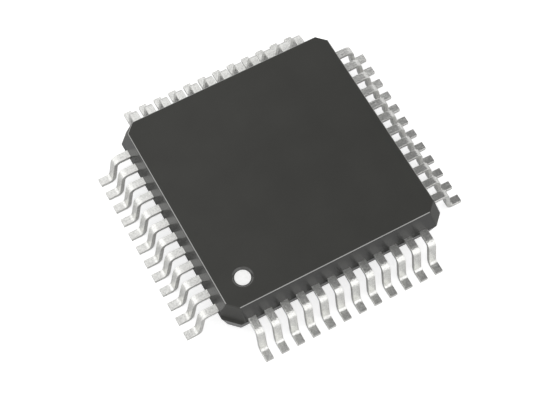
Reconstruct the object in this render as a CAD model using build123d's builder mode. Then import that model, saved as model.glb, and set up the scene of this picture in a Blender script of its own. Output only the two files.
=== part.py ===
from build123d import *
import os
from math import radians, sqrt, tan

# Analog-to-digital converter chip in a low-profile quad flat package.
# A square moulded body carries a row of gull-wing leads on each side, which stand it on the board.
# Inside lie the die on its paddle, the fingers of the leads and the bond wires between them.
# Millimetres. +Z is up. The origin is the middle of the footprint, on the plane the feet stand on.
# Pin 1 is next to the corner at -X, -Y, and the pins are counted anticlockwise seen from above.

# Moulded body
body_width = 7.0
body_thickness = 1.45
standoff = 0.15
wall_draft = 15.0
wall_corner_radius = 0.06
rim_radius = 0.035

# Corner cuts, measured along the wall on each side of the corner
corner_cut_at_face = 0.28
corner_cut_at_parting = 0.31
pin_one_upper_cut = 0.53
pin_one_lower_cut = 0.41

# Pin 1 mark: an inked disc on the floor of a round dimple
dimple_from_wall = 0.98
dimple_floor_radius = 0.25
dimple_depth = 0.06
dimple_draft = 40.0
ink_clearance = 0.015
ink_thickness = 0.015

# Leads, outside the body
leads_per_side = 12
lead_pitch = 0.5
lead_width = 0.24
lead_thickness = 0.13
shoulder_reach = 0.38
foot_reach = 0.4657
lead_lean = 10.0
bend_radius = 0.12

# Fingers, the inner ends of the leads
finger_root_depth = 0.30
finger_tip_reach = 1.85
finger_tip_pitch = 0.24
finger_tip_width = 0.14

# Die paddle and the tie bars that hold it to the corners
paddle_width = 2.60
paddle_corner_cut = 0.20
paddle_downset = 0.20
tie_bar_width = 0.14
tie_bar_cover = 0.15
downset_start = 2.55
downset_run = 0.20

# Die and the adhesive under it
die_width = 2.00
die_thickness = 0.28
adhesive_thickness = 0.03
adhesive_margin = 0.06

# Bond wires
wire_diameter = 0.028
wire_sides = 4
bond_pad_inset = 0.07
bond_pad_pitch = 0.15
wire_loop_height = 0.16
stitch_inset = 0.12
wire_run_on = 0.1

# Heights and reaches that follow from the sizes above
half_thickness = body_thickness / 2
parting_height = standoff + half_thickness
top_height = standoff + body_thickness
body_reach = body_width / 2
face_reach = body_reach - half_thickness * tan(radians(wall_draft))
knee_reach = body_reach + shoulder_reach
ankle_reach = knee_reach + parting_height * tan(radians(lead_lean))
finger_root_reach = body_reach - finger_root_depth
lead_top = parting_height + lead_thickness
paddle_height = parting_height - paddle_downset
adhesive_height = paddle_height + lead_thickness
die_height = adhesive_height + adhesive_thickness
die_top = die_height + die_thickness
dimple_place = -(body_reach - dimple_from_wall)
dimple_floor = top_height - dimple_depth
tie_bar_end = sqrt(2) * body_reach - pin_one_upper_cut / sqrt(2) - tie_bar_cover


def on_diagonal(side, reach, height):
    """A point on the line through the corner before side 0 to 3, which are -Y, +X, +Y and -X."""
    return Vector(-reach / sqrt(2), -reach / sqrt(2), height).rotate(Axis.Z, 90 * side)


def along(place, pitch):
    """How far a lead in its row of the given pitch lies from the middle of the row."""
    return (place - (leads_per_side - 1) / 2) * pitch


def corner_plane(side, parting_cut):
    """The plane that cuts the corner before that side of the upper half, facing outwards."""
    at_parting = sqrt(2) * body_reach - parting_cut / sqrt(2)
    at_face = sqrt(2) * face_reach - corner_cut_at_face / sqrt(2)
    normal = on_diagonal(side, half_thickness, at_parting - at_face)
    return Plane(origin=on_diagonal(side, at_parting, parting_height), z_dir=normal)


def mould_half(pin_one_cut):
    """A half of the body, above the parting line: a drafted square block with cut and rounded corners."""
    with BuildPart() as half:
        with BuildSketch(Plane.XY.offset(parting_height)):
            Rectangle(body_width, body_width)
        extrude(amount=half_thickness, taper=wall_draft)
        for side in range(4):
            parting_cut = pin_one_cut if side == 0 else corner_cut_at_parting
            split(bisect_by=corner_plane(side, parting_cut), keep=Keep.BOTTOM)
        slanted = half.edges().filter_by(lambda edge: abs(edge.tangent_at(0.5).Z) > 0.5)
        fillet(slanted, radius=wall_corner_radius)
        fillet(half.faces().sort_by(Axis.Z)[-1].edges(), radius=rim_radius)
    return half


def make_lead(place):
    """One lead of the -Y side: the gull-wing outside the body and the finger that runs in to the die."""
    row_place = along(place, lead_pitch)
    tip_place = along(place, finger_tip_pitch)
    with BuildPart() as lead:
        with BuildSketch(Plane(origin=(row_place, 0, 0), x_dir=(0, -1, 0), z_dir=(-1, 0, 0))):
            with BuildLine():
                underside = FilletPolyline(
                    (finger_root_reach, parting_height),
                    (knee_reach, parting_height),
                    (ankle_reach, 0),
                    (ankle_reach + foot_reach, 0),
                    radius=(bend_radius, bend_radius + lead_thickness),
                )
                offset(underside, amount=lead_thickness, side=Side.LEFT)
            make_face()
        extrude(amount=lead_width / 2, both=True)
        with BuildSketch(Plane.XY.offset(parting_height)):
            with BuildLine():
                Polyline(
                    (row_place - lead_width / 2, -finger_root_reach),
                    (row_place + lead_width / 2, -finger_root_reach),
                    (tip_place + finger_tip_width / 2, -finger_tip_reach),
                    (tip_place - finger_tip_width / 2, -finger_tip_reach),
                    close=True,
                )
            make_face()
        extrude(amount=lead_thickness)
    return lead


def make_wire(place):
    """One bond wire of the -Y side: up from its pad on the die, and down to its stitch on the finger."""
    pad = Vector(along(place, bond_pad_pitch), bond_pad_inset - die_width / 2, die_top)
    loop = pad + Vector(0, 0, wire_loop_height)
    stitch = Vector(along(place, finger_tip_pitch), -finger_tip_reach - stitch_inset, lead_top)
    with BuildPart() as wire:
        with BuildLine():
            Polyline(pad, loop, stitch + (stitch - loop) * wire_run_on)
        with BuildSketch(Plane.XY.offset(die_top)):
            with Locations((pad.X, pad.Y)):
                RegularPolygon(wire_diameter / 2, wire_sides)
        sweep(transition=Transition.RIGHT)
        split(bisect_by=Plane.XY.offset(lead_top), keep=Keep.TOP)
    return wire


# Leadframe: the leads, and the paddle on its tie bars
row_leads = [make_lead(place) for place in range(leads_per_side)]
leads = []
for side in range(4):
    for row_lead in row_leads:
        with BuildPart() as lead:
            add(row_lead.part, rotation=(0, 0, 90 * side))
        leads.append(lead)

with BuildPart() as die_paddle:
    with BuildSketch(Plane.XY.offset(paddle_height)):
        paddle_outline = Rectangle(paddle_width, paddle_width)
        chamfer(paddle_outline.vertices(), length=paddle_corner_cut)
    extrude(amount=lead_thickness)
    for side in range(4):
        diagonal = on_diagonal(side, 1, 0)
        with BuildSketch(Plane(origin=(0, 0, 0), x_dir=diagonal, z_dir=diagonal.rotate(Axis.Z, -90))):
            with BuildLine():
                bar_underside = Polyline(
                    (paddle_width / 2, paddle_height),
                    (downset_start - downset_run, paddle_height),
                    (downset_start, parting_height),
                    (tie_bar_end, parting_height),
                )
                offset(bar_underside, amount=lead_thickness, kind=Kind.INTERSECTION, side=Side.LEFT)
            make_face()
        extrude(amount=tie_bar_width / 2, both=True)

# Die, the adhesive that holds it, and its bond wires
with BuildPart() as die_attach:
    with BuildSketch(Plane.XY.offset(adhesive_height)):
        Rectangle(die_width + 2 * adhesive_margin, die_width + 2 * adhesive_margin)
    extrude(amount=adhesive_thickness)

with BuildPart() as silicon_die:
    with BuildSketch(Plane.XY.offset(die_height)):
        Rectangle(die_width, die_width)
    extrude(amount=die_thickness)

row_wires = [make_wire(place) for place in range(leads_per_side)]

with BuildPart() as bond_wires:
    with PolarLocations(0, 4):
        add([wire.part for wire in row_wires])

# Moulded body, cast round the leadframe, the die and the wires
upper_half = mould_half(pin_one_upper_cut).part
lower_half = mirror(mould_half(pin_one_lower_cut).part, about=Plane.XY.offset(parting_height))

with BuildPart() as package_body:
    add([upper_half, lower_half])
    with BuildSketch(Plane.XY.offset(dimple_floor)):
        with Locations((dimple_place, dimple_place)):
            Circle(dimple_floor_radius)
    extrude(amount=dimple_depth, taper=-dimple_draft, mode=Mode.SUBTRACT)
    moulded_in = [*leads, die_paddle, die_attach, silicon_die, bond_wires]
    add([piece.part for piece in moulded_in], mode=Mode.SUBTRACT)

with BuildPart() as pin_one_mark:
    with BuildSketch(Plane.XY.offset(dimple_floor)):
        with Locations((dimple_place, dimple_place)):
            Circle(dimple_floor_radius - ink_clearance)
    extrude(amount=ink_thickness)

# Names and files
pieces = {
    "package_body": package_body,
    "pin_one_mark": pin_one_mark,
    "silicon_die": silicon_die,
    "die_attach": die_attach,
    "die_paddle": die_paddle,
    "bond_wires": bond_wires,
}
pieces |= {f"lead_{number:02d}": lead for number, lead in enumerate(leads, start=1)}

os.makedirs("parts", exist_ok=True)
for name, piece in pieces.items():
    piece.part.label = name
    export_step(piece.part, f"parts/{name}.step")
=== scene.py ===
from math import cos, hypot, pi, radians, sin, sqrt, tan

import bmesh
import bpy
from mathutils import Matrix, Vector


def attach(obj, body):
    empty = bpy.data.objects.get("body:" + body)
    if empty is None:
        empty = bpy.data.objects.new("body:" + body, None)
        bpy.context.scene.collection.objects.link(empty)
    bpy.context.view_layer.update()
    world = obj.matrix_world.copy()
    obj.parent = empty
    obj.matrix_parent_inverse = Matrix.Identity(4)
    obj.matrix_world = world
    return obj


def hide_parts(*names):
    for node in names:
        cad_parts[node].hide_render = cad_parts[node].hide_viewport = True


# An analog-to-digital converter chip in a low-profile quad flat package, dressed for the camera.
# The body, the leads and the ink dot are made here in finer form.
# What is sealed in the body keeps its CAD node and gets its material here.
# Sizes are in millimetres, the object's frame is the CAD's, and each mesh is written in metres.

MM = 0.001

# Moulded body
BODY_REACH = 3.5
BODY_THICKNESS = 1.45
STANDOFF = 0.15
WALL_DRAFT = radians(15)
WALL_CORNER_RADIUS = 0.06
RIM_RADIUS = 0.035

# Corner cuts, measured along the wall on each side of the corner
CUT_AT_FACE = 0.28
CUT_AT_PARTING = 0.31
PIN_ONE_UPPER_CUT = 0.53
PIN_ONE_LOWER_CUT = 0.41

# Dimple of pin 1 and the ink dot in it
DIMPLE_FROM_WALL = 0.98
DIMPLE_FLOOR_RADIUS = 0.25
DIMPLE_DEPTH = 0.06
DIMPLE_DRAFT = radians(40)
DIMPLE_LIP_ROUND = 0.008
INK_CLEARANCE = 0.015
INK_THICKNESS = 0.015

# Leads
LEADS_PER_SIDE = 12
LEAD_PITCH = 0.5
LEAD_WIDTH = 0.24
LEAD_THICKNESS = 0.13
SHOULDER_REACH = 0.38
FOOT_REACH = 0.4657
LEAD_LEAN = radians(10)
BEND_RADIUS = 0.12
LEAD_EDGE_RADIUS = 0.014
FINGER_ROOT_DEPTH = 0.30
FINGER_TIP_REACH = 1.85
FINGER_TIP_PITCH = 0.24
FINGER_TIP_WIDTH = 0.14

# Heights and reaches that follow
HALF_THICKNESS = BODY_THICKNESS / 2
PARTING_HEIGHT = STANDOFF + HALF_THICKNESS
TOP_HEIGHT = STANDOFF + BODY_THICKNESS
FACE_REACH = BODY_REACH - HALF_THICKNESS * tan(WALL_DRAFT)
KNEE_REACH = BODY_REACH + SHOULDER_REACH
ANKLE_REACH = KNEE_REACH + PARTING_HEIGHT * tan(LEAD_LEAN)
DIMPLE_PLACE = -(BODY_REACH - DIMPLE_FROM_WALL)
DIMPLE_FLOOR = TOP_HEIGHT - DIMPLE_DEPTH
DIMPLE_LIP_RADIUS = DIMPLE_FLOOR_RADIUS + DIMPLE_DEPTH * tan(DIMPLE_DRAFT)

# Mesh fineness. Bands of faces as wide as the support keep the rounded edges' shading off the flat faces
CORNER_STEPS = 5
RIM_STEPS = 5
DIMPLE_STEPS = 64
BEND_STEPS = 12
EDGE_STEPS = 3
SUPPORT = 0.02
BODY_SMOOTH_BELOW = radians(25)
LEAD_SMOOTH_BELOW = radians(10)
MERGE_WITHIN = 0.0005

# The ink film's profile from its foot to its top, as shares of its radius and of its thickness
INK_PROFILE = [(1, 0), (1, 0.35), (0.985, 0.7), (0.96, 0.9), (0.92, 1)]

# How the body's faces are told apart, by the parts of their normals
STRAIGHT_WITHIN = 0.1
FLAT_ABOVE = 0.97
STEEP_BELOW = 0.5

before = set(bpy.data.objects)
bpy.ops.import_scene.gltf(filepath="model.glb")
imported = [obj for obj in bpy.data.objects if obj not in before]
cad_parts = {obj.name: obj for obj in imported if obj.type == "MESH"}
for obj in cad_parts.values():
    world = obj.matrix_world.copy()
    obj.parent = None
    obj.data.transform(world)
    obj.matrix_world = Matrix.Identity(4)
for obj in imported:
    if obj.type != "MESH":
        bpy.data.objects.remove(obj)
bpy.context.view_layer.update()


# Meshes

def mesh_object(name, mesh, smooth_below):
    """A shown object of that mesh, smooth where its faces meet at less than that angle."""
    mesh.shade_smooth()
    mesh.set_sharp_from_angle(angle=smooth_below)
    made = bpy.data.objects.new(name, mesh)
    bpy.context.scene.collection.objects.link(made)
    return made


def skin(solid, rings):
    """Faces through rings of as many points each, as (outline, height). Returns the rings of vertices."""
    loops = [
        [solid.verts.new((x * MM, y * MM, height * MM)) for x, y in outline]
        for outline, height in rings
    ]
    for lower, upper in zip(loops, loops[1:]):
        for i, corner in enumerate(lower):
            solid.faces.new((lower[i - 1], corner, upper[i], upper[i - 1]))
    return loops


def finish_mesh(name, solid):
    """A shown object of the closed solid, with its faces turned outwards."""
    bmesh.ops.remove_doubles(solid, verts=solid.verts, dist=MERGE_WITHIN * MM)
    # The second pass takes the sliver that the first one leaves beside the faces it joins
    for _ in range(2):
        bmesh.ops.dissolve_degenerate(solid, edges=solid.edges, dist=MERGE_WITHIN * MM)
    bmesh.ops.recalc_face_normals(solid, faces=solid.faces)
    mesh = bpy.data.meshes.new(name)
    solid.to_mesh(mesh)
    solid.free()
    return mesh_object(name, mesh, BODY_SMOOTH_BELOW)


def body_outline(reach, cuts):
    """A square of that reach with its corners cut by those lengths, each edge of a cut rounded off."""
    corners = []
    for side, cut in enumerate(cuts):
        to_side = Matrix.Rotation(side * pi / 2, 2)
        corners += [to_side @ Vector((-reach, cut - reach)), to_side @ Vector((cut - reach, -reach))]
    # The outline turns by an eighth of a circle at each edge of a cut
    eighth = pi / 4
    tangent = WALL_CORNER_RADIUS * tan(eighth / 2)
    points = []
    for i, corner in enumerate(corners):
        arriving = (corner - corners[i - 1]).normalized()
        leaving = (corners[(i + 1) % len(corners)] - corner).normalized()
        inwards = Vector((-arriving.y, arriving.x))
        centre = corner - arriving * tangent + inwards * WALL_CORNER_RADIUS
        points.append(corner - arriving * (tangent + SUPPORT))
        for step in range(CORNER_STEPS + 1):
            turn = Matrix.Rotation(step / CORNER_STEPS * eighth, 2)
            points.append(centre - turn @ inwards * WALL_CORNER_RADIUS)
        points.append(corner + leaving * (tangent + SUPPORT))
    return points


def half_rings(pin_one_cut):
    """Rings of half the body, as (outline, height above the parting line), from there to the half's face."""
    parting_cuts = [pin_one_cut] + [CUT_AT_PARTING] * 3
    round_inset = RIM_RADIUS * (1 - sin(WALL_DRAFT)) / cos(WALL_DRAFT)
    round_start = HALF_THICKNESS - RIM_RADIUS * (1 - sin(WALL_DRAFT))
    rings = []
    for height in (0, SUPPORT, round_start - SUPPORT):
        share = height / HALF_THICKNESS
        cuts = [cut + (CUT_AT_FACE - cut) * share for cut in parting_cuts]
        rings.append((body_outline(BODY_REACH - height * tan(WALL_DRAFT), cuts), height))
    arc = [WALL_DRAFT + (pi / 2 - WALL_DRAFT) * step / RIM_STEPS for step in range(RIM_STEPS + 1)]
    places = [
        (round_inset - RIM_RADIUS * cos(angle), HALF_THICKNESS - RIM_RADIUS * (1 - sin(angle)))
        for angle in arc
    ]
    places.append((round_inset + SUPPORT, HALF_THICKNESS))
    # Moved inwards on all sides, an outline keeps its corners and shortens each cut by this share of the move
    cut_loss = 2 - sqrt(2)
    for inset, height in places:
        rings.append((body_outline(FACE_REACH - inset, [CUT_AT_FACE - cut_loss * inset] * 4), height))
    return rings


def circle(radius):
    """Points round the middle of the dimple."""
    angles = [2 * pi * step / DIMPLE_STEPS for step in range(DIMPLE_STEPS)]
    return [(DIMPLE_PLACE + radius * cos(angle), DIMPLE_PLACE + radius * sin(angle)) for angle in angles]


def make_body():
    """The moulded body: two drafted halves that meet at the parting line, and the dimple in the top."""
    solid = bmesh.new()
    lower = [(outline, PARTING_HEIGHT - height) for outline, height in half_rings(PIN_ONE_LOWER_CUT)]
    upper = [(outline, PARTING_HEIGHT + height) for outline, height in half_rings(PIN_ONE_UPPER_CUT)]
    body_loops = skin(solid, lower[::-1] + upper)
    solid.faces.new(body_loops[0])
    dimple_loops = skin(solid, [
        (circle(DIMPLE_FLOOR_RADIUS), DIMPLE_FLOOR),
        (circle(DIMPLE_LIP_RADIUS - DIMPLE_LIP_ROUND / 2), TOP_HEIGHT - DIMPLE_LIP_ROUND),
        (circle(DIMPLE_LIP_RADIUS + DIMPLE_LIP_ROUND / 4), TOP_HEIGHT - DIMPLE_LIP_ROUND / 4),
        (circle(DIMPLE_LIP_RADIUS + DIMPLE_LIP_ROUND), TOP_HEIGHT),
        (circle(DIMPLE_LIP_RADIUS + SUPPORT), TOP_HEIGHT),
    ])
    solid.faces.new(dimple_loops[0])
    top_edges = [
        solid.edges.get((loop[i - 1], loop[i]))
        for loop in (body_loops[-1], dimple_loops[-1])
        for i in range(len(loop))
    ]
    bmesh.ops.triangle_fill(solid, edges=top_edges, use_beauty=True)
    return finish_mesh("moulded_body", solid)


def paint_body(body, wall, top, rim, corner, dimple):
    """Gives the body's walls, flat top, cut corners and dimple a finish each, and the upper rim a pale
    painted highlight.
    """
    for finish in (wall, top, rim, corner, dimple):
        body.data.materials.append(finish)
    on_wall, on_top, on_rim_highlight, on_corner, in_dimple = range(5)
    for face in body.data.polygons:
        x, y, height = face.center / MM
        from_dimple = hypot(x - DIMPLE_PLACE, y - DIMPLE_PLACE)
        straight = min(abs(face.normal.x), abs(face.normal.y)) < STRAIGHT_WITHIN
        # The painted rim highlight runs on round this corner alone, the cut corner on the lit left side
        highlit_left_corner = x < 0 < y
        ledge = abs(height - PARTING_HEIGHT) < SUPPORT and face.normal.z > STEEP_BELOW
        if ledge:
            face.material_index = on_corner
        elif height < PARTING_HEIGHT:
            face.material_index = on_wall
        elif from_dimple < DIMPLE_LIP_RADIUS + DIMPLE_LIP_ROUND:
            face.material_index = in_dimple
        elif face.normal.z > FLAT_ABOVE:
            face.material_index = on_top
        # The upper rim's straight sides and the left corner get the pale painted highlight
        elif face.normal.z > STEEP_BELOW and (straight or highlit_left_corner):
            face.material_index = on_rim_highlight
        elif straight:
            face.material_index = on_wall
        else:
            face.material_index = on_corner


def make_ink_dot():
    """The printed disc on the dimple's floor, a film of ink that thins out at its edge."""
    solid = bmesh.new()
    radius = DIMPLE_FLOOR_RADIUS - INK_CLEARANCE
    loops = skin(solid, [
        (circle(radius * out), DIMPLE_FLOOR + INK_THICKNESS * up) for out, up in INK_PROFILE
    ])
    solid.faces.new(loops[0])
    solid.faces.new(loops[-1])
    return finish_mesh("ink_dot", solid)


# Materials

# Widths of the patterns. Those with a comment are finer on the real one, and are drawn wide enough to show
EPOXY_GRAIN = 0.05  # About 0.02 on the real one
EPOXY_CLOUD = 1.2
TIN_GRAIN = 0.05  # A few thousandths on the real one
ROLLING_MARK = 0.04  # A few thousandths on the real one
INK_GRAIN = 0.08
SILVER_FLAKE = 0.03  # About 0.01 on the real one
CIRCUIT_BLOCK = 0.3
COPPER_GRAIN = 0.1
GOLD_GRAIN = 0.03
PAPER_CLOUD = 20

# Depths of the reliefs
EPOXY_RELIEF = 0.004
TIN_RELIEF = 0.020
INK_RELIEF = 0.003

# Nearly all of a noise pattern lies between these values
PATTERN_LOW = 0.35
PATTERN_HIGH = 0.65

# The Mix node's sockets for two colours and for the colour that it gives
MIX_FIRST = 6
MIX_SECOND = 7
MIX_RESULT = 2


def linear(hex_colour):
    """The linear colour of an sRGB hex value, with full alpha."""
    shares = [int(hex_colour[i:i + 2], 16) / 255 for i in (1, 3, 5)]
    return (*(s / 12.92 if s <= 0.04045 else ((s + 0.055) / 1.055) ** 2.4 for s in shares), 1)


def repeats(width):
    """The scale of a pattern whose patches are about that many millimetres wide."""
    return 1 / (width * MM)


def add_node(tree, kind, inputs=None, **settings):
    """A node with its settings, and its inputs by socket: a value, an output or a node's first output."""
    made = tree.nodes.new(kind)
    for name, value in settings.items():
        setattr(made, name, value)
    for socket, value in (inputs or {}).items():
        if isinstance(value, bpy.types.Node):
            value = value.outputs[0]
        if isinstance(value, bpy.types.NodeSocket):
            tree.links.new(value, made.inputs[socket])
        else:
            made.inputs[socket].default_value = value
    return made


def new_material(name):
    """An empty node material, and its tree."""
    made = bpy.data.materials.new(name)
    made.use_nodes = True
    made.node_tree.nodes.clear()
    return made, made.node_tree


def mottled(tree, pattern, first, second):
    """A colour that wanders from the first to the second with the pattern."""
    share = add_node(tree, "ShaderNodeMapRange", {
        "Value": pattern, "From Min": PATTERN_LOW, "From Max": PATTERN_HIGH,
    })
    return add_node(tree, "ShaderNodeMix", {
        "Factor": share, MIX_FIRST: linear(first), MIX_SECOND: linear(second),
    }, data_type="RGBA").outputs[MIX_RESULT]


def moulded_epoxy(name, first, second, roughness, shine):
    """Epoxy filled with silica, moulded in a spark-eroded tool, which gives it an even, dull grain."""
    made, tree = new_material(name)
    place = add_node(tree, "ShaderNodeTexCoord").outputs["Object"]
    grain = add_node(tree, "ShaderNodeTexNoise", {
        "Vector": place, "Scale": repeats(EPOXY_GRAIN), "Detail": 3.0,
    })
    cloud = add_node(tree, "ShaderNodeTexNoise", {
        "Vector": place, "Scale": repeats(EPOXY_CLOUD), "Detail": 3.0,
    })
    speck = add_node(tree, "ShaderNodeMix", {"Factor": 0.3, "A": cloud, "B": grain})
    bump = add_node(tree, "ShaderNodeBump", {
        "Strength": 0.35, "Distance": EPOXY_RELIEF * MM, "Height": grain,
    })
    shader = add_node(tree, "ShaderNodeBsdfPrincipled", {
        "Base Color": mottled(tree, speck, first, second),
        "Roughness": roughness,
        "Specular IOR Level": shine,
        "Normal": bump,
    })
    add_node(tree, "ShaderNodeOutputMaterial", {"Surface": shader})
    return made


def matt_tin_plate():
    """Matt tin plated on stamped strip: a pale metal, mottled by its grains and streaked along the strip."""
    made, tree = new_material("matt_tin_plate")
    place = add_node(tree, "ShaderNodeTexCoord").outputs["Object"]
    surface = add_node(tree, "ShaderNodeCombineXYZ", {
        axis: add_node(tree, "ShaderNodeAttribute", attribute_name=name).outputs["Fac"]
        for axis, name in (("X", "along"), ("Y", "around"), ("Z", "row_place"))
    })
    # The rolling marks run along the strip
    stretch = add_node(tree, "ShaderNodeMapping", {"Vector": surface, "Scale": (0.07, 1, 1)})
    marks = add_node(tree, "ShaderNodeTexNoise", {
        "Vector": stretch, "Scale": repeats(ROLLING_MARK), "Detail": 3.0,
    })
    grains = add_node(tree, "ShaderNodeTexNoise", {
        "Vector": place, "Scale": repeats(TIN_GRAIN), "Detail": 2.0,
    })
    relief = add_node(tree, "ShaderNodeMix", {"Factor": 0.75, "A": marks, "B": grains})
    rough = add_node(tree, "ShaderNodeMapRange", {"Value": grains, "To Min": 0.25, "To Max": 0.35})
    bump = add_node(tree, "ShaderNodeBump", {
        "Strength": 0.8, "Distance": TIN_RELIEF * MM, "Height": relief,
    })
    shader = add_node(tree, "ShaderNodeBsdfPrincipled", {
        "Base Color": mottled(tree, relief, "#d2d2cf", "#f0f0ed"),
        "Metallic": 1.0,
        "Roughness": rough,
        "Normal": bump,
    })
    add_node(tree, "ShaderNodeOutputMaterial", {"Surface": shader})
    return made


def marking_ink():
    """White marking ink, pad printed: an opaque, chalky film."""
    made, tree = new_material("white_marking_ink")
    place = add_node(tree, "ShaderNodeTexCoord").outputs["Object"]
    film = add_node(tree, "ShaderNodeTexNoise", {
        "Vector": place, "Scale": repeats(INK_GRAIN), "Detail": 3.0,
    })
    bump = add_node(tree, "ShaderNodeBump", {
        "Strength": 0.2, "Distance": INK_RELIEF * MM, "Height": film,
    })
    shader = add_node(tree, "ShaderNodeBsdfPrincipled", {
        "Base Color": mottled(tree, film, "#f8f8f6", "#fdfdfc"),
        "Roughness": 0.7,
        "Normal": bump,
    })
    add_node(tree, "ShaderNodeOutputMaterial", {"Surface": shader})
    return made


def bare_metal(name, first, second, grain, smoothest, roughest):
    """Bare metal, mottled in colour and gloss by its grains: rolled copper alloy, or drawn gold wire."""
    made, tree = new_material(name)
    place = add_node(tree, "ShaderNodeTexCoord").outputs["Object"]
    grains = add_node(tree, "ShaderNodeTexNoise", {"Vector": place, "Scale": repeats(grain), "Detail": 3.0})
    rough = add_node(tree, "ShaderNodeMapRange", {"Value": grains, "To Min": smoothest, "To Max": roughest})
    shader = add_node(tree, "ShaderNodeBsdfPrincipled", {
        "Base Color": mottled(tree, grains, first, second),
        "Metallic": 1.0,
        "Roughness": rough,
    })
    add_node(tree, "ShaderNodeOutputMaterial", {"Surface": shader})
    return made


def silver_adhesive():
    """Epoxy full of silver flakes, dispensed and cured: dull grey with a glint from each flake."""
    made, tree = new_material("silver_filled_epoxy")
    place = add_node(tree, "ShaderNodeTexCoord").outputs["Object"]
    flakes = add_node(tree, "ShaderNodeTexVoronoi", {"Vector": place, "Scale": repeats(SILVER_FLAKE)})
    shader = add_node(tree, "ShaderNodeBsdfPrincipled", {
        "Base Color": mottled(tree, flakes, "#a8a9ab", "#c6c7c9"),
        "Metallic": 0.6,
        "Roughness": 0.5,
    })
    add_node(tree, "ShaderNodeOutputMaterial", {"Surface": shader})
    return made


def processed_silicon():
    """Polished silicon under glass and fine wiring, whose blocks differ a little in their blue-grey."""
    made, tree = new_material("processed_silicon")
    place = add_node(tree, "ShaderNodeTexCoord").outputs["Object"]
    blocks = add_node(tree, "ShaderNodeTexVoronoi", {
        "Vector": place, "Scale": repeats(CIRCUIT_BLOCK),
    }, distance="CHEBYCHEV")
    shade = add_node(tree, "ShaderNodeSeparateColor", {"Color": blocks.outputs["Color"]})
    shader = add_node(tree, "ShaderNodeBsdfPrincipled", {
        "Base Color": mottled(tree, shade, "#3b4558", "#5c6478"),
        "Metallic": 0.3,
        "Roughness": 0.15,
    })
    add_node(tree, "ShaderNodeOutputMaterial", {"Surface": shader})
    return made


# Leads

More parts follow.
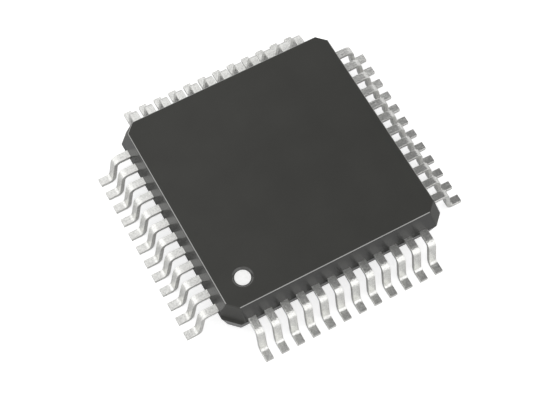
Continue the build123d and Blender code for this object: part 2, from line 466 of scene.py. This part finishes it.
def leads_tree(material):
    """The tree that sweeps a lead along its line, repeats it on four sides and fans its fingers in."""
    tree = bpy.data.node_groups.new("leads", "GeometryNodeTree")
    tree.interface.new_socket(name="Geometry", in_out="INPUT", socket_type="NodeSocketGeometry")
    tree.interface.new_socket(name="Geometry", in_out="OUTPUT", socket_type="NodeSocketGeometry")
    sizes = {
        "Width": LEAD_WIDTH * MM,
        "Thickness": LEAD_THICKNESS * MM,
        "Edge Radius": LEAD_EDGE_RADIUS * MM,
        "Bend Radius": (BEND_RADIUS + LEAD_THICKNESS / 2) * MM,
        "Pitch": LEAD_PITCH * MM,
        "Finger Root": (BODY_REACH - FINGER_ROOT_DEPTH) * MM,
        "Finger Tip": FINGER_TIP_REACH * MM,
        "Tip Pitch": FINGER_TIP_PITCH * MM,
        "Tip Width": FINGER_TIP_WIDTH * MM,
        "Merge Within": MERGE_WITHIN * MM,
        "Leads Per Side": LEADS_PER_SIDE,
    }
    # The modifier takes each value by its socket's identifier
    values = {}
    for name, value in sizes.items():
        kind = "NodeSocketInt" if isinstance(value, int) else "NodeSocketFloat"
        values[tree.interface.new_socket(name=name, in_out="INPUT", socket_type=kind).identifier] = value
    given = add_node(tree, "NodeGroupInput").outputs

    # Where each point lies, and how far along its curve, for the steps below that ask
    position = add_node(tree, "GeometryNodeInputPosition")
    where = add_node(tree, "ShaderNodeSeparateXYZ", {"Vector": position}).outputs
    travelled = add_node(tree, "GeometryNodeSplineParameter").outputs["Length"]

    # The lead's line, with both bends rounded
    line = add_node(tree, "GeometryNodeMeshToCurve", {"Mesh": given["Geometry"]})
    bent = add_node(tree, "GeometryNodeFilletCurve", {
        "Curve": line, "Count": BEND_STEPS, "Radius": given["Bend Radius"], "Limit Radius": True,
    }, mode="POLY")
    marked = add_node(tree, "GeometryNodeStoreNamedAttribute", {
        "Geometry": bent, "Name": "along", "Value": travelled,
    })
    upright = add_node(tree, "GeometryNodeSetCurveNormal", {"Curve": marked}, mode="Z_UP")

    # The section: stamped strip with its edges taken off
    section = add_node(tree, "GeometryNodeCurvePrimitiveQuadrilateral", {
        "Width": given["Width"], "Height": given["Thickness"],
    })
    eased = add_node(tree, "GeometryNodeFilletCurve", {
        "Curve": section, "Count": EDGE_STEPS, "Radius": given["Edge Radius"],
    }, mode="POLY")
    edged = add_node(tree, "GeometryNodeStoreNamedAttribute", {
        "Geometry": eased, "Name": "around", "Value": travelled,
    })
    swept = add_node(tree, "GeometryNodeCurveToMesh", {
        "Curve": upright, "Profile Curve": edged, "Fill Caps": True,
    })
    # Rounding the line leaves a bundle of sections at the finger's root, where it runs straight on
    joined = add_node(tree, "GeometryNodeMergeByDistance", {
        "Geometry": swept, "Distance": given["Merge Within"],
    })

    # One row: a lead at each pitch, which keeps its place in the row
    gaps = add_node(tree, "ShaderNodeMath", {0: given["Leads Per Side"], 1: 1.0}, operation="SUBTRACT")
    span = add_node(tree, "ShaderNodeMath", {0: gaps, 1: given["Pitch"]}, operation="MULTIPLY")
    first_place = add_node(tree, "ShaderNodeMath", {0: span, 1: -0.5}, operation="MULTIPLY")
    places = add_node(tree, "GeometryNodeMeshLine", {
        "Count": given["Leads Per Side"],
        "Start Location": add_node(tree, "ShaderNodeCombineXYZ", {"X": first_place}),
        "Offset": add_node(tree, "ShaderNodeCombineXYZ", {"X": given["Pitch"]}),
    })
    numbered = add_node(tree, "GeometryNodeStoreNamedAttribute", {
        "Geometry": places, "Name": "row_place", "Value": where["X"],
    })
    repeated = add_node(tree, "GeometryNodeInstanceOnPoints", {"Points": numbered, "Instance": joined})
    row = add_node(tree, "GeometryNodeRealizeInstances", {"Geometry": repeated})

    # The fingers fan in: from root to tip, the row closes up to the tips' pitch and each finger narrows
    row_place = add_node(tree, "GeometryNodeInputNamedAttribute", {"Name": "row_place"})
    reach = add_node(tree, "ShaderNodeMath", {0: where["Y"], 1: -1.0}, operation="MULTIPLY")
    fanned_share = add_node(tree, "ShaderNodeMapRange", {
        "Value": reach, "From Min": given["Finger Root"], "From Max": given["Finger Tip"],
    })
    pitch_share = add_node(tree, "ShaderNodeMath", {
        0: given["Tip Pitch"], 1: given["Pitch"],
    }, operation="DIVIDE")
    width_share = add_node(tree, "ShaderNodeMath", {
        0: given["Tip Width"], 1: given["Width"],
    }, operation="DIVIDE")
    tip_place = add_node(tree, "ShaderNodeMath", {0: row_place, 1: pitch_share}, operation="MULTIPLY")
    from_middle = add_node(tree, "ShaderNodeMath", {0: where["X"], 1: row_place}, operation="SUBTRACT")
    at_tip = add_node(tree, "ShaderNodeMath", {
        0: from_middle, 1: width_share, 2: tip_place,
    }, operation="MULTIPLY_ADD")
    whole_shift = add_node(tree, "ShaderNodeMath", {0: at_tip, 1: where["X"]}, operation="SUBTRACT")
    shift = add_node(tree, "ShaderNodeMath", {0: fanned_share, 1: whole_shift}, operation="MULTIPLY")
    fanned = add_node(tree, "GeometryNodeSetPosition", {
        "Geometry": row, "Offset": add_node(tree, "ShaderNodeCombineXYZ", {"X": shift}),
    })

    # Four rows, each a quarter turn on from the one before
    sides = add_node(tree, "GeometryNodeMeshLine", {"Count": 4, "Offset": (0, 0, 0)})
    side = add_node(tree, "GeometryNodeInputIndex")
    turn = add_node(tree, "ShaderNodeMath", {0: side, 1: pi / 2}, operation="MULTIPLY")
    rows = add_node(tree, "GeometryNodeInstanceOnPoints", {
        "Points": sides, "Instance": fanned, "Rotation": add_node(tree, "ShaderNodeCombineXYZ", {"Z": turn}),
    })
    real = add_node(tree, "GeometryNodeRealizeInstances", {"Geometry": rows})
    finished = add_node(tree, "GeometryNodeSetMaterial", {"Geometry": real, "Material": material})
    add_node(tree, "NodeGroupOutput", {"Geometry": finished})
    return tree, values


def make_leads(material):
    """All the leads as one piece."""
    # The line is the middle of the strip, which turns a little further out than its underside does
    half = LEAD_THICKNESS / 2
    further_out = half * tan((pi / 2 - LEAD_LEAN) / 2)
    line = [
        (ANKLE_REACH + FOOT_REACH, half),
        (ANKLE_REACH + further_out, half),
        (KNEE_REACH + further_out, PARTING_HEIGHT + half),
        (BODY_REACH - FINGER_ROOT_DEPTH, PARTING_HEIGHT + half),
        (FINGER_TIP_REACH, PARTING_HEIGHT + half),
    ]
    points = [(0, -reach * MM, height * MM) for reach, height in line]
    mesh = bpy.data.meshes.new("lead_line")
    mesh.from_pydata(points, [(i, i + 1) for i in range(len(points) - 1)], [])
    guide = bpy.data.objects.new("lead_line", mesh)
    bpy.context.scene.collection.objects.link(guide)
    tree, values = leads_tree(material)
    modifier = guide.modifiers.new("leads", "NODES")
    modifier.node_group = tree
    for identifier, value in values.items():
        modifier[identifier] = value
    evaluated = guide.evaluated_get(bpy.context.evaluated_depsgraph_get())
    # The strip's faces stay flat up to its rounded edges, and only the bends shade smoothly
    made = mesh_object("lead_rows", bpy.data.meshes.new_from_object(evaluated), LEAD_SMOOTH_BELOW)
    bpy.data.objects.remove(guide)
    return made


# Pieces

body = make_body()
paint_body(
    body,
    # The walls come from a finer part of the tool, and mirror the leads
    wall=moulded_epoxy("moulded_epoxy_wall", "#333332", "#393938", roughness=0.2, shine=0.45),
    # The top is the dullest, and shows no reflection
    top=moulded_epoxy("moulded_epoxy_top", "#333330", "#373734", roughness=0.6, shine=0.35),
    # The upper rim is painted pale, a painted highlight along its rounded edge
    rim=moulded_epoxy("moulded_epoxy_painted_rim_highlight", "#9c9c9a", "#a8a8a6", roughness=0.4, shine=0.35),
    # The cut corners are a little paler and duller than the walls
    corner=moulded_epoxy("moulded_epoxy_cut_corner", "#3c3c3a", "#42423f", roughness=0.5, shine=0.35),
    # The dimple is left by a polished pin in the tool, and shines
    dimple=moulded_epoxy("moulded_epoxy_pin_mark", "#31312e", "#353532", roughness=0.12, shine=0.9),
)
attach(body, "root")
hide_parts("package_body")

ink_dot = make_ink_dot()
ink_dot.data.materials.append(marking_ink())
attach(ink_dot, "root")
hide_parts("pin_one_mark")

leads = make_leads(matt_tin_plate())
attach(leads, "root")
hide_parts(*[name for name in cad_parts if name.startswith("lead_")])

sealed_in = {
    "silicon_die": processed_silicon(),
    "die_attach": silver_adhesive(),
    "die_paddle": bare_metal(
        "rolled_copper_alloy", "#b5794f", "#c98d62", grain=COPPER_GRAIN, smoothest=0.29, roughest=0.41,
    ),
    "bond_wires": bare_metal(
        "drawn_gold_wire", "#d8ae4e", "#e6c063", grain=GOLD_GRAIN, smoothest=0.14, roughest=0.26,
    ),
}
for name, finish in sealed_in.items():
    for material_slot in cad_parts[name].material_slots:
        material_slot.material = finish


# Stage. A strength of 1 is white

SKY_STRENGTH = 0.85
FLOOR_CORNERS = [(-400, -400), (400, -400), (400, 400), (-400, 400)]
FLOOR_GLOW = 0.7
FLOOR_GLOW_REFLECTED = 0.12

# The card's left edge slants, so that the front row mirrors the card and the left row doesn't
CARD_CORNERS = [(-4.6, -5), (25, -5), (25, 8), (3.3, 8)]
CARD_HEIGHT = 10
CARD_GLOW = 0.2

# Each lamp's direction from the chip, and the strength of its face
LAMPS = {
    "left_lamp": ((-0.75, 0.30, 0.59), 0.40),
    "front_lamp": ((0.22, -0.78, 0.59), 0.41),
}
LAMP_DISTANCE = 110
LAMP_SIZE = 120


def seen_directly(tree, to_camera, in_reflection):
    """A strength for the camera, one for reflections and through glass, and 0 for light that spreads."""
    rays = add_node(tree, "ShaderNodeLightPath").outputs
    bounced = add_node(tree, "ShaderNodeMath", {
        0: rays["Is Glossy Ray"], 1: rays["Is Transmission Ray"],
    }, operation="MAXIMUM")
    reflected = add_node(tree, "ShaderNodeMath", {0: bounced, 1: in_reflection}, operation="MULTIPLY")
    return add_node(tree, "ShaderNodeMath", {
        0: rays["Is Camera Ray"], 1: to_camera, 2: reflected,
    }, operation="MULTIPLY_ADD")


def white_paper():
    """White paper that looks white to the camera and still takes the chip's shadow."""
    made, tree = new_material("white_paper")
    place = add_node(tree, "ShaderNodeTexCoord").outputs["Object"]
    cloud = add_node(tree, "ShaderNodeTexNoise", {
        "Vector": place, "Scale": repeats(PAPER_CLOUD), "Detail": 3.0,
    })
    shaded = add_node(tree, "ShaderNodeBsdfDiffuse", {"Color": mottled(tree, cloud, "#cfcfcf", "#d2d2d2")})
    shining = add_node(tree, "ShaderNodeEmission", {
        "Strength": seen_directly(tree, FLOOR_GLOW, FLOOR_GLOW_REFLECTED),
    })
    both = add_node(tree, "ShaderNodeAddShader", {0: shaded, 1: shining})
    add_node(tree, "ShaderNodeOutputMaterial", {"Surface": both})
    return made


def grey_card():
    """Grey card that hangs above the chip, for the front and right rows and the body's top to reflect."""
    made, tree = new_material("grey_card")
    shining = add_node(tree, "ShaderNodeEmission", {"Strength": CARD_GLOW})
    add_node(tree, "ShaderNodeOutputMaterial", {"Surface": shining})
    return made


def add_sheet(name, corners, height, material):
    """A level sheet with those corners in plan, at a height, which belongs to the stage."""
    mesh = bpy.data.meshes.new(name)
    mesh.from_pydata([(x * MM, y * MM, height * MM) for x, y in corners], [], [(0, 1, 2, 3)])
    mesh.materials.append(material)
    made = bpy.data.objects.new(name, mesh)
    bpy.context.scene.collection.objects.link(made)
    return made


def add_lamp(name, towards, brightness):
    """A square soft lamp that way from the chip, whose face is as bright as a surface of that strength."""
    lamp = bpy.data.lights.new(name, "AREA")
    lamp.size = LAMP_SIZE * MM
    lamp.energy = brightness * pi * lamp.size ** 2
    made = bpy.data.objects.new(name, lamp)
    made.location = Vector(towards).normalized() * LAMP_DISTANCE * MM
    made.rotation_euler = made.location.to_track_quat("Z", "Y").to_euler()
    bpy.context.scene.collection.objects.link(made)


add_sheet("floor", FLOOR_CORNERS, 0, white_paper())
card = add_sheet("card", CARD_CORNERS, CARD_HEIGHT, grey_card())
card.visible_camera = False
card.visible_diffuse = False
card.visible_shadow = False

for name, (towards, brightness) in LAMPS.items():
    add_lamp(name, towards, brightness)

# The sky is plain white, a little weaker as light than it looks to the camera
world = bpy.data.worlds.new("studio")
bpy.context.scene.world = world
world.use_nodes = True
sky_tree = world.node_tree
sky_tree.nodes.clear()
extra = seen_directly(sky_tree, 1 - SKY_STRENGTH, 1 - SKY_STRENGTH)
strength = add_node(sky_tree, "ShaderNodeMath", {0: extra, 1: SKY_STRENGTH}, operation="ADD")
sky = add_node(sky_tree, "ShaderNodeBackground", {"Color": linear("#ffffff"), "Strength": strength})
add_node(sky_tree, "ShaderNodeOutputWorld", {"Surface": sky})


# Camera, fitted to the photograph. In its view, it aims a little right of the origin and below it

AZIMUTH = radians(-28.74)
ELEVATION = radians(63.5)
DISTANCE = 44.188
LENS = 96.612
AIM_RIGHT = 0.0273
AIM_UP = -0.2430
NEAREST_SEEN = 1

back = Vector((sin(AZIMUTH) * cos(ELEVATION), -cos(AZIMUTH) * cos(ELEVATION), sin(ELEVATION)))
right = Vector((cos(AZIMUTH), sin(AZIMUTH), 0))
up = back.cross(right)
camera_data = bpy.data.cameras.new("camera")
camera_data.lens = LENS
camera_data.clip_start = NEAREST_SEEN * MM
camera = bpy.data.objects.new("camera", camera_data)
turned = Matrix((right, up, back)).transposed().to_4x4()
camera.matrix_world = Matrix.Translation((right * AIM_RIGHT + up * AIM_UP + back * DISTANCE) * MM) @ turned
bpy.context.scene.collection.objects.link(camera)
bpy.context.scene.camera = camera
bpy.context.scene.view_settings.view_transform = "Standard"
